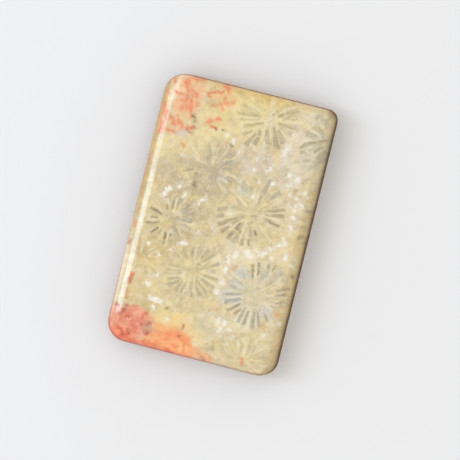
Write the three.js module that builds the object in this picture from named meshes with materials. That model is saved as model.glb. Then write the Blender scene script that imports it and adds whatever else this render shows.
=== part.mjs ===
// A polished slice of fossil coral, cut as a rectangular tablet: one solid piece of stone.
// Millimetres, +Z up. The tablet lies on its sawn back, with the polished front face up.
// The origin is the middle of the back, +Y runs along the tablet and +X across it.
import * as THREE from "three";

// Driving dimensions of the tablet
const LENGTH = 38;
const WIDTH = 24.2;
const THICKNESS = 5;

// The upright corners were rounded by hand, each a little differently. Upper is the +Y end.
const CORNER_RADIUS = { upperLeft: 2.8, lowerLeft: 2.8, lowerRight: 2.4, upperRight: 1.6 };

// The front edge is rolled over along a quarter ellipse, and the face bulges slightly.
const ROLL_REACH = 2.1;
const ROLL_DROP = 1.5;
const DOME_RISE = 0.5;

// A narrow ground bevel breaks the sharp edge of the sawn back.
const BACK_BEVEL = 0.5;

// How finely the faceted solid follows these curves
const CORNER_STEPS = 9;
const LONG_SIDE_STEPS = 10;
const SHORT_SIDE_STEPS = 6;
const BEVEL_STEPS = 3;
const ROLL_STEPS = 8;
const FACE_STEPS = 7;

const HALF_WIDTH = WIDTH / 2;
const HALF_LENGTH = LENGTH / 2;
const WALL_TOP = THICKNESS - DOME_RISE - ROLL_DROP;

// The outline seen from above, anticlockwise: four corner arcs joined by divided straight sides.
function outline() {
  const corners = [
    { x: 1, y: -1, radius: CORNER_RADIUS.lowerRight, start: -90, sideSteps: LONG_SIDE_STEPS },
    { x: 1, y: 1, radius: CORNER_RADIUS.upperRight, start: 0, sideSteps: SHORT_SIDE_STEPS },
    { x: -1, y: 1, radius: CORNER_RADIUS.upperLeft, start: 90, sideSteps: LONG_SIDE_STEPS },
    { x: -1, y: -1, radius: CORNER_RADIUS.lowerLeft, start: 180, sideSteps: SHORT_SIDE_STEPS },
  ];
  const arcs = corners.map(({ x, y, radius, start }) => {
    const centreX = x * (HALF_WIDTH - radius);
    const centreY = y * (HALF_LENGTH - radius);
    return Array.from({ length: CORNER_STEPS + 1 }, (_, i) => {
      const angle = THREE.MathUtils.degToRad(start + (90 * i) / CORNER_STEPS);
      return new THREE.Vector2(centreX + radius * Math.cos(angle), centreY + radius * Math.sin(angle));
    });
  });
  return arcs.flatMap((arc, i) => {
    const end = arc[arc.length - 1];
    const next = arcs[(i + 1) % arcs.length][0];
    const steps = corners[i].sideSteps;
    const side = Array.from({ length: steps - 1 }, (_, k) => end.clone().lerp(next, (k + 1) / steps));
    return [...arc, ...side];
  });
}

// How far the bulging face stands above a flat one, at a point seen from above.
function dome(x, y) {
  return DOME_RISE * (1 - (x / HALF_WIDTH) ** 2) * (1 - (y / HALF_LENGTH) ** 2);
}

// The outline drawn in by a distance on every side, at a height, with the bulge of the face if asked.
function ring(points, inset, height, bulges) {
  const scaleX = 1 - inset / HALF_WIDTH;
  const scaleY = 1 - inset / HALF_LENGTH;
  return points.map(({ x, y }) => {
    const lift = bulges ? dome(x * scaleX, y * scaleY) : 0;
    return new THREE.Vector3(x * scaleX, y * scaleY, height + lift);
  });
}

// Rings from the back to the middle of the front face: bevel, wall, rolled edge, bulging face.
function rings() {
  const points = outline();
  const stack = [];
  for (let i = 0; i <= BEVEL_STEPS; i++) {
    const angle = (Math.PI / 2) * (i / BEVEL_STEPS);
    const inset = BACK_BEVEL * (1 - Math.sin(angle));
    stack.push(ring(points, inset, BACK_BEVEL * (1 - Math.cos(angle)), false));
  }
  for (let i = 0; i <= ROLL_STEPS; i++) {
    const angle = (Math.PI / 2) * (i / ROLL_STEPS);
    const inset = ROLL_REACH * (1 - Math.cos(angle));
    stack.push(ring(points, inset, WALL_TOP + ROLL_DROP * Math.sin(angle), true));
  }
  const faceEdge = stack[stack.length - 1];
  for (let i = 1; i < FACE_STEPS; i++) {
    const scale = 1 - i / FACE_STEPS;
    const faceRing = faceEdge.map(({ x, y }) => {
      const height = WALL_TOP + ROLL_DROP + dome(x * scale, y * scale);
      return new THREE.Vector3(x * scale, y * scale, height);
    });
    stack.push(faceRing);
  }
  return stack;
}

// Closes the stack of rings with a point in the middle of the back and one in the middle of the face.
function tabletGeometry() {
  const stack = rings();
  const count = stack[0].length;
  const positions = stack.flat().flatMap((p) => p.toArray());
  const backMiddle = positions.length / 3;
  positions.push(0, 0, 0);
  const faceMiddle = positions.length / 3;
  positions.push(0, 0, WALL_TOP + ROLL_DROP + dome(0, 0));

  const triangles = [];
  for (let level = 0; level + 1 < stack.length; level++) {
    for (let i = 0; i < count; i++) {
      const next = (i + 1) % count;
      const low = level * count + i;
      const lowNext = level * count + next;
      const high = low + count;
      const highNext = lowNext + count;
      triangles.push(low, lowNext, highNext, low, highNext, high);
    }
  }
  const last = (stack.length - 1) * count;
  for (let i = 0; i < count; i++) {
    const next = (i + 1) % count;
    triangles.push(backMiddle, next, i);
    triangles.push(faceMiddle, last + i, last + next);
  }

  const geometry = new THREE.BufferGeometry();
  geometry.setAttribute("position", new THREE.Float32BufferAttribute(positions, 3));
  geometry.setIndex(triangles);
  geometry.computeVertexNormals();
  return geometry;
}

const polishedStone = new THREE.MeshStandardMaterial({ color: 0xdccba2, roughness: 0.15, metalness: 0 });

const coralSlab = new THREE.Mesh(tabletGeometry(), polishedStone);
coralSlab.name = "coral_slab";

const tablet = new THREE.Group();
tablet.add(coralSlab);

export default tablet;
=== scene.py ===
import math

import bmesh
import bpy
from mathutils import Matrix, Vector, noise as clouding


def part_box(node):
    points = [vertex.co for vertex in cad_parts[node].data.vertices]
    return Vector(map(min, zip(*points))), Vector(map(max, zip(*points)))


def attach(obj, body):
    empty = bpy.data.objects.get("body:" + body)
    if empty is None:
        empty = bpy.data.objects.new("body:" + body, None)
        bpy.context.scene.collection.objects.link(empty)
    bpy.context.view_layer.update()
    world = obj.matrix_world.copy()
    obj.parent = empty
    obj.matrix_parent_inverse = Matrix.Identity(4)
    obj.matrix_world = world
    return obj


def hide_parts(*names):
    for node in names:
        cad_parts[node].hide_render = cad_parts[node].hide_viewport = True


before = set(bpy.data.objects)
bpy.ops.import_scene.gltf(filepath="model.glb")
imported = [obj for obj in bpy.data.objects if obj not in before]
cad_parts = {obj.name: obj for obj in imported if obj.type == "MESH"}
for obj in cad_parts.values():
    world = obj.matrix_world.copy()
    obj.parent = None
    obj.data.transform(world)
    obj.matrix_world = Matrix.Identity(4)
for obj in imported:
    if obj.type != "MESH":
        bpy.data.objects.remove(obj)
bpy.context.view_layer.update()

# The slice of fossil coral.
# One piece of stone, sawn flat at the back and ground by hand to a rectangle with four differently
# rounded corners. The front edge is rolled over, and the slightly domed face is polished and waxed.
MM = 0.001
HALF_WIDTH, HALF_LENGTH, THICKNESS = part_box("coral_slab")[1]
UPPER_LEFT, UPPER_RIGHT, LOWER_LEFT, LOWER_RIGHT = 2.8 * MM, 1.6 * MM, 2.8 * MM, 2.4 * MM
BACK_BEVEL = 0.5 * MM
ROLL_REACH, ROLL_DROP, DOME_RISE = 2.1 * MM, 1.5 * MM, 0.5 * MM
WALL_TOP = THICKNESS - DOME_RISE - ROLL_DROP
HAND_WAVES, WAVE_LENGTH = 0.02 * MM, 3.5 * MM

bpy.ops.object.select_all(action="DESELECT")
bpy.ops.mesh.primitive_plane_add(size=1, location=(0, 0, 0))
stone = bpy.context.object
stone.name = "coral_slab_polished"
stone.scale = (2 * HALF_WIDTH, 2 * HALF_LENGTH, 1)
bpy.ops.object.transform_apply(location=True, rotation=True, scale=True)
bpy.ops.object.mode_set(mode="EDIT")


def pick(part, keep):
    """Selects only the blank's points or edges that pass the test."""
    bpy.ops.mesh.select_all(action="DESELECT")
    mesh = bmesh.from_edit_mesh(stone.data)
    for item in getattr(mesh, part):
        item.select = keep(item)
    mesh.select_flush(True)
    bmesh.update_edit_mesh(stone.data)
    return mesh


bpy.context.tool_settings.mesh_select_mode = (True, False, False)
for side, end, radius in (
    (-1, 1, UPPER_LEFT), (1, 1, UPPER_RIGHT), (-1, -1, LOWER_LEFT), (1, -1, LOWER_RIGHT),
):
    corner = Vector((side * HALF_WIDTH, end * HALF_LENGTH, 0))
    pick("verts", lambda v: (v.co - corner).length < 1e-6)
    bpy.ops.mesh.bevel(offset=radius, segments=8, affect="VERTICES")

bpy.ops.mesh.select_all(action="SELECT")
bpy.ops.mesh.delete(type="ONLY_FACE")
bpy.context.tool_settings.mesh_select_mode = (False, True, False)
pick("edges", lambda e: e.calc_length() > 25 * MM)
bpy.ops.mesh.subdivide(number_cuts=39)
pick("edges", lambda e: 10 * MM < e.calc_length() < 25 * MM)
bpy.ops.mesh.subdivide(number_cuts=23)


def raise_rim(height, inset):
    """Draws the open rim up to a height, and in from the blank's full outline by an inset."""
    global rim_height, rim_inset
    bpy.ops.mesh.extrude_region_move(TRANSFORM_OT_translate={"value": (0, 0, height - rim_height)})
    across = (HALF_WIDTH - inset) / (HALF_WIDTH - rim_inset)
    along = (HALF_LENGTH - inset) / (HALF_LENGTH - rim_inset)
    bpy.ops.transform.resize(value=(across, along, 1), center_override=(0, 0, height))
    rim_height, rim_inset = height, inset


bpy.ops.mesh.select_all(action="SELECT")
bpy.ops.transform.resize(
    value=(1 - BACK_BEVEL / HALF_WIDTH, 1 - BACK_BEVEL / HALF_LENGTH, 1), center_override=(0, 0, 0)
)
rim_height, rim_inset = 0, BACK_BEVEL
for step in range(1, 4):
    turn = math.radians(90 * step / 3)
    raise_rim(BACK_BEVEL * (1 - math.cos(turn)), BACK_BEVEL * (1 - math.sin(turn)))
for step in range(1, 4):
    raise_rim(BACK_BEVEL + (WALL_TOP - BACK_BEVEL) * step / 3, 0)
for step in range(1, 9):
    turn = math.radians(90 * step / 8)
    raise_rim(WALL_TOP + ROLL_DROP * math.sin(turn), ROLL_REACH * (1 - math.cos(turn)))

for level in (0, rim_height):
    mesh = pick("edges", lambda e: all(abs(v.co.z - level) < 1e-7 for v in e.verts))
    mesh.select_history.clear()
    mesh.select_history.add(max((v for v in mesh.verts if v.select), key=lambda v: -v.co.x - v.co.y))
    bpy.ops.mesh.fill_grid(span=48, offset=0)
bpy.ops.mesh.select_all(action="SELECT")
bpy.ops.mesh.normals_make_consistent(inside=False)
bpy.ops.object.mode_set(mode="OBJECT")
for v in stone.data.vertices:
    if v.co.z > WALL_TOP - 1e-7:
        v.co.z += DOME_RISE * (1 - (v.co.x / HALF_WIDTH) ** 2) * (1 - (v.co.y / HALF_LENGTH) ** 2)

finer = stone.modifiers.new("finer", "SUBSURF")
finer.levels = finer.render_levels = 2
bpy.ops.object.modifier_apply(modifier="finer")
for v in stone.data.vertices:
    if v.co.z > WALL_TOP:
        wave = 0.5 + 0.5 * clouding.noise(v.co / WAVE_LENGTH)
        v.co.z -= HAND_WAVES * wave * min(1, (v.co.z - WALL_TOP) / ROLL_DROP)
bpy.ops.object.shade_smooth()
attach(stone, "root")
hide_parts("coral_slab")

# Its colours: every cup of the coral is a ring of narrow chambers between thin radial walls, filled
# with grey, olive or bluish chalcedony in cream stone. Iron has stained two corners orange and red.
polished_coral = bpy.data.materials.new("polished_coral")
polished_coral.use_nodes = True


class Wire:
    """One value on its way through the stone's colouring, so that sums on it are written as sums."""

    tree = polished_coral.node_tree

    def __init__(self, socket):
        self.socket = socket

    @classmethod
    def node(cls, kind, settings, sockets, out=0):
        made = cls.tree.nodes.new(kind)
        for name, value in settings.items():
            setattr(made, name, value)
        for key, value in sockets.items():
            if isinstance(value, Wire):
                cls.tree.links.new(value.socket, made.inputs[key])
            else:
                made.inputs[key].default_value = value
        return None if out is None else cls(made.outputs[out])

    @classmethod
    def math(cls, operation, *values):
        return cls.node("ShaderNodeMath", {"operation": operation}, dict(enumerate(values)))

    def __add__(self, other):
        return self.math("ADD", self, other)

    def __sub__(self, other):
        return self.math("SUBTRACT", self, other)

    def __rsub__(self, other):
        return self.math("SUBTRACT", other, self)

    def __mul__(self, other):
        return self.math("MULTIPLY", self, other)

    __radd__ = __add__
    __rmul__ = __mul__


def noise(where, scale, detail=2.0, roughness=0.5, out="Fac"):
    """Soft random clouds, with a scale per millimetre."""
    sockets = {"Vector": where, "Scale": scale, "Detail": detail, "Roughness": roughness}
    return Wire.node("ShaderNodeTexNoise", {}, sockets, out)


def channel(colour, name):
    """One part of a random colour, as a number."""
    return Wire.node("ShaderNodeSeparateColor", {}, {0: colour}, name)


def wander(where, scale, reach, detail):
    """Moves a place by up to about half a reach, in mm, so that drawn marks get natural rims."""
    drift = noise(place, scale, detail, 0.6, "Color")
    return [way + (channel(drift, part) - 0.5) * reach for way, part in zip(where, ("Red", "Green"))]


def between(value, low, high, bottom=0.0, top=1.0):
    """Turns a value from low to high smoothly into one from bottom to top."""
    sockets = {"Value": value, "From Min": low, "From Max": high, "To Min": bottom, "To Max": top}
    return Wire.node("ShaderNodeMapRange", {"interpolation_type": "SMOOTHSTEP", "clamp": False}, sockets)


def shade(red, green, blue):
    """A colour as seen, each part from 0 to 255, made ready for the shader."""
    return tuple(c / 12.92 if c <= 0.04045 else ((c + 0.055) / 1.055) ** 2.4
                 for c in (red / 255, green / 255, blue / 255)) + (1.0,)


def tint(under, colour, share, blend="MIX"):
    """Lays a colour over another, by a share from 0 to 1."""
    settings = {"data_type": "RGBA", "blend_type": blend}
    return Wire.node("ShaderNodeMix", settings, {0: share, 6: under, 7: colour}, 2)


def recipe(name, takes, gives, steps):
    """Writes a run of steps down once, as a group that is then used for many marks."""
    Wire.tree = bpy.data.node_groups.new(name, "ShaderNodeTree")
    for way, sockets in (("INPUT", takes), ("OUTPUT", gives)):
        for socket, kind in sockets.items():
            Wire.tree.interface.new_socket(socket, in_out=way, socket_type="NodeSocket" + kind)
    given = Wire.tree.nodes.new("NodeGroupInput")
    results = steps(*(Wire(given.outputs[socket]) for socket in takes))
    Wire.node("NodeGroupOutput", {}, dict(zip(gives, results)), None)
    written, Wire.tree = Wire.tree, polished_coral.node_tree
    return written


place = Wire.node("ShaderNodeMapping", {}, {
    "Vector": Wire.node("ShaderNodeTexCoord", {}, {}, "Object"), "Scale": (1 / MM, 1 / MM, 1 / MM),
})
across, along, above_back = (Wire.node("ShaderNodeSeparateXYZ", {}, {0: place}, way) for way in "XYZ")

# The coral grew at a slight slant, so its cups shift a little on their way down through the stone.
FACE_LEVEL, SLANT_ACROSS, SLANT_ALONG = 4.6, 0.10, 0.06
under_face = above_back - FACE_LEVEL
plan = wander([across + under_face * SLANT_ACROSS, along + under_face * SLANT_ALONG], 1.3, 0.26, 2.0)
rough_plan = wander(plan, 1.5, 0.6, 3.0)
loose_plan = wander(plan, 0.45, 2.8, 4.0)


def cloud_steps(across, along, x, y, width, length, edge, core, under, colour, share):
    """Lays a soft oval of colour over what is under it."""
    out_x, out_y = Wire.math("DIVIDE", across - x, width), Wire.math("DIVIDE", along - y, length)
    return [tint(under, colour, between(out_x * out_x + out_y * out_y, edge, core) * share)]


one_cloud = recipe("one_cloud", {
    "across": "Float", "along": "Float", "x": "Float", "y": "Float", "width": "Float", "length": "Float",
    "edge": "Float", "core": "Float", "under": "Color", "colour": "Color", "share": "Float",
}, {"colour": "Color"}, cloud_steps)


def cloud(under, colour, share, x, y, width, length, edge=1.6, core=0.05):
    """A soft oval cloud of colour round a point, with its half sizes in mm."""
    sockets = {
        "across": loose_plan[0], "along": loose_plan[1], "x": x, "y": y, "width": width, "length": length,
        "edge": edge, "core": core, "under": under, "colour": colour, "share": share,
    }
    return Wire.node("ShaderNodeGroup", {"node_tree": one_cloud}, sockets)


# Broad clouds of colour in the cream stone: middle, half sizes, colour and share.
paler = between(noise(place, 0.9, 4.0, 0.6), 0.35, 0.65)
stone_colour = tint(shade(210, 188, 138), shade(228, 208, 157), paler)
for x, y, width, length, colour, share in (
    (-3.0, 14.2, 4.2, 4.6, (238, 214, 146), 0.8),
    (-9.0, 15.6, 3.2, 4.2, (240, 204, 156), 0.45),
    (-3.8, 17.6, 1.8, 2.0, (240, 204, 146), 0.4),
    (1.6, 18.4, 5.2, 1.7, (236, 206, 122), 0.85),
    (-6.2, 18.4, 3.0, 1.2, (240, 212, 148), 0.7),
    (9.2, 18.3, 3.2, 1.2, (230, 218, 186), 0.7),
    (-3.0, 16.0, 2.2, 1.6, (226, 200, 128), 0.6),
    (-9.0, 9.4, 3.6, 2.2, (236, 218, 165), 0.7),
    (-5.0, 11.0, 2.6, 2.4, (238, 218, 160), 0.6),
    (-1.4, 8.2, 3.4, 3.4, (188, 172, 138), 0.75),
    (-2.2, 5.8, 2.4, 2.2, (180, 162, 128), 0.6),
    (-7.6, 5.6, 3.6, 2.2, (198, 179, 146), 0.6),
    (-2.9, 0.2, 2.6, 2.6, (203, 180, 143), 0.6),
    (3.4, 10.8, 2.6, 1.4, (217, 192, 158), 0.7),
    (7.6, 13.2, 1.8, 3.6, (226, 212, 186), 0.7),
    (7.4, 9.6, 2.8, 1.8, (224, 214, 190), 0.6),
    (10.8, 12.6, 2.0, 5.2, (202, 191, 160), 0.7),
    (9.8, 4.4, 1.6, 3.4, (226, 210, 180), 0.6),
    (8.8, 0.2, 2.6, 2.4, (232, 205, 144), 0.6),
    (9.4, -2.4, 2.8, 1.6, (240, 220, 168), 0.7),
    (4.6, -3.6, 2.4, 1.8, (236, 222, 184), 0.7),
    (2.3, -7.0, 1.3, 3.4, (236, 220, 184), 0.6),
    (7.2, -8.4, 4.2, 4.4, (208, 200, 170), 0.6),
    (-8.9, -6.2, 2.4, 3.6, (212, 188, 132), 0.7),
    (-8.0, -10.2, 2.8, 1.4, (234, 216, 170), 0.6),
    (-3.0, -11.8, 3.4, 1.6, (218, 196, 148), 0.5),
    (-3.6, -14.2, 3.6, 1.5, (244, 214, 140), 0.8),
    (0.6, -16.4, 1.6, 2.0, (242, 212, 146), 0.7),
    (2.6, -13.6, 2.6, 1.8, (230, 217, 180), 0.6),
    (7.8, -16.2, 3.6, 2.4, (222, 204, 150), 0.5),
    (-7.0, 4.4, 3.4, 3.6, (190, 168, 120), 0.6),
    (-4.0, 2.4, 2.6, 4.2, (190, 168, 128), 0.55),
    (-8.6, -5.6, 2.8, 2.2, (200, 170, 110), 0.65),
    (-5.0, -4.6, 3.0, 1.6, (200, 176, 126), 0.6),
    (-8.2, -11.8, 2.4, 1.9, (204, 182, 120), 0.65),
    (-8.6, 8.6, 2.4, 1.8, (222, 198, 138), 0.5),
    (-5.6, -13.2, 2.2, 0.9, (204, 184, 132), 0.5),
    (4.2, -9.2, 1.7, 1.4, (196, 200, 198), 0.85),
    (4.9, -5.8, 1.4, 1.1, (206, 209, 198), 0.8),
    (4.2, -7.4, 1.4, 0.9, (200, 203, 198), 0.75),
    (8.0, -4.8, 0.8, 1.2, (200, 201, 188), 0.6),
    (10.2, -4.8, 1.0, 0.9, (188, 186, 170), 0.6),
    (9.4, -10.2, 1.3, 1.4, (208, 210, 206), 0.8),
    (7.2, -11.6, 2.2, 1.2, (206, 203, 174), 0.5),
    (3.0, 9.3, 1.3, 1.7, (216, 208, 186), 0.6),
    (4.9, 9.3, 1.1, 1.5, (226, 220, 206), 0.7),
    (6.6, 11.8, 0.7, 1.9, (230, 226, 212), 0.8),
    (7.7, 14.6, 0.8, 1.6, (226, 216, 194), 0.6),
    (9.2, 8.6, 0.8, 1.0, (228, 222, 210), 0.7),
    (3.4, 11.9, 0.8, 0.5, (216, 216, 190), 0.8),
    (2.2, 5.6, 0.8, 0.7, (206, 206, 178), 0.6),
    (3.6, 15.7, 1.0, 0.9, (220, 198, 150), 0.7),
    (-5.2, 1.2, 2.4, 4.6, (184, 163, 120), 0.4),
    (-5.4, -2.0, 2.4, 2.0, (186, 163, 114), 0.45),
    (2.0, 9.4, 3.6, 2.0, (200, 182, 150), 0.5),
    (6.6, 9.0, 1.8, 1.4, (206, 194, 168), 0.4),
    (-8.2, -6.2, 1.8, 2.4, (208, 178, 108), 0.45),
    (-8.0, -12.6, 2.2, 1.4, (206, 180, 118), 0.45),
    (6.8, 1.0, 1.8, 1.2, (206, 184, 146), 0.4),
    (0.2, 0.0, 2.2, 1.6, (206, 182, 140), 0.4),
    (10.4, 14.6, 1.8, 3.6, (208, 202, 182), 0.7),
    (10.8, 18.0, 1.2, 0.9, (204, 194, 172), 0.6),
    (11.5, 13.0, 1.0, 5.0, (206, 200, 186), 0.75),
    (2.6, 9.2, 1.6, 0.8, (222, 214, 196), 0.55),
    (7.6, 7.6, 1.6, 1.0, (224, 216, 198), 0.5),
    (-9.0, 17.6, 1.6, 1.0, (246, 216, 160), 0.5),
    (-1.8, 6.6, 2.6, 2.6, (184, 168, 136), 0.4),
    (6.4, 8.0, 2.6, 1.6, (206, 190, 158), 0.35),
    (1.6, 12.0, 2.4, 1.0, (214, 194, 156), 0.5),
    (1.6, 16.4, 5.0, 1.3, (234, 212, 134), 0.4),
    (1.1, 6.5, 0.6, 0.6, (226, 220, 194), 0.6),
    (1.3, 2.3, 0.7, 0.9, (220, 219, 190), 0.6),
    (2.4, 5.5, 0.9, 0.9, (207, 210, 184), 0.6),
    (-9.8, -11.9, 0.5, 1.2, (232, 196, 130), 0.5),
    (2.6, 10.4, 2.2, 1.0, (208, 186, 152), 0.5),
    (6.2, 2.2, 1.6, 1.4, (206, 188, 148), 0.35),
    (-2.0, 16.2, 1.4, 1.2, (236, 210, 120), 0.5),
    (-7.6, -6.2, 2.4, 2.2, (220, 190, 116), 0.5),
    (-7.4, -11.2, 2.8, 2.2, (220, 192, 118), 0.5),
    (-8.0, -2.0, 1.6, 2.4, (216, 190, 130), 0.35),
    (4.0, 0.0, 6.0, 2.4, (222, 200, 148), 0.3),
    (4.6, 8.4, 3.2, 1.6, (200, 184, 150), 0.35),
    (1.0, 14.8, 2.4, 2.6, (236, 218, 150), 0.5),
    (-2.4, 16.6, 1.8, 1.6, (240, 214, 136), 0.6),
    (10.2, 11.4, 1.6, 3.0, (222, 212, 186), 0.5),
    (10.6, 16.6, 1.2, 1.8, (218, 208, 182), 0.5),
    (10.6, -2.8, 1.4, 3.0, (232, 214, 166), 0.5),
    (10.2, -13.6, 1.6, 3.2, (226, 210, 164), 0.5),
    (5.2, -2.2, 1.8, 1.0, (238, 222, 180), 0.5),
    (6.0, -12.6, 3.0, 0.9, (236, 224, 186), 0.5),
    (6.9, 5.7, 0.9, 0.7, (194, 194, 168), 0.6),
):
    stone_colour = cloud(stone_colour, shade(*colour), share, x, y, width, length)

# Cloudy veins of butter yellow, milky, peach and drab stone, coarse ones and then fine ones.
for scale, share in ((0.6, 0.42), (1.3, 0.17)):
    veins = noise(place, scale, 4.0, 0.6, "Color")
    for part, low, high, colour in (
        ("Red", 0.52, 0.66, (246, 224, 148)), ("Green", 0.53, 0.67, (232, 226, 206)),
        ("Blue", 0.53, 0.68, (230, 190, 150)), ("Red", 0.47, 0.34, (186, 172, 136)),
    ):
        vein = between(channel(veins, part), low, high, 0, share)
        stone_colour = tint(stone_colour, shade(*colour), vein)

# Sugary grains of the cream stone, pale ones, drab ones and fine specks.
grains = Wire.node("ShaderNodeTexVoronoi", {}, {"Vector": place, "Scale": 2.3}, "Color")
grain = channel(grains, "Red")
stone_colour = tint(stone_colour, shade(242, 231, 200), between(grain, 0.55, 1.0, 0, 0.24))
stone_colour = tint(stone_colour, shade(184, 166, 128), between(grain, 0.35, 0.0, 0, 0.2))
specks = between(noise(place, 3.4, 3.0, 0.6), 0.57, 0.72, 0, 0.22)
stone_colour = tint(stone_colour, shade(176, 156, 114), specks)

FAR_OUTSIDE = -9.0


def mark_steps(across, along, x, y, way_x, way_y, length, cap, inner, growth, strength, depth, reach):
    """Finds how far inside a round-ended wedge a point lies, and keeps the largest depth and reach."""
    out_x, out_y = across - x, along - y
    run = out_x * way_x + out_y * way_y
    aside = Wire.math("ABSOLUTE", out_x * way_y - out_y * way_x)
    flank = inner + run * growth - aside
    ends = Wire.math("MINIMUM", run, length - run) + cap
    inside = Wire.math("SMOOTH_MIN", flank, ends, cap * 1.8)
    depth = Wire.math("MAXIMUM", between(inside, -0.20, 0.10, 0.0, strength), depth)
    return depth, Wire.math("MAXIMUM", inside, reach)


one_mark = recipe("one_mark", dict.fromkeys((
    "across", "along", "x", "y", "way_x", "way_y", "length", "cap", "inner", "growth", "strength",
    "depth", "reach",
), "Float"), {"depth": "Float", "reach": "Float"}, mark_steps)


def mark(on, line, inner, outer, strength=1.0, depth=0.0, reach=FAR_OUTSIDE, cap=0.10):
    """Adds a mark to those so far, and gives the depth of colour and how far inside a point lies."""
    x, y, to_x, to_y = line
    run = Vector((to_x - x, to_y - y))
    way = run.normalized()
    sockets = {
        "across": on[0], "along": on[1], "x": x, "y": y, "way_x": way.x, "way_y": way.y,
        "length": run.length, "cap": cap, "inner": inner, "growth": (outer - inner) / run.length,
        "strength": strength, "depth": depth, "reach": reach,
    }
    made = Wire.node("ShaderNodeGroup", {"node_tree": one_mark}, sockets, "depth")
    return made, Wire(made.socket.node.outputs["reach"])


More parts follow.
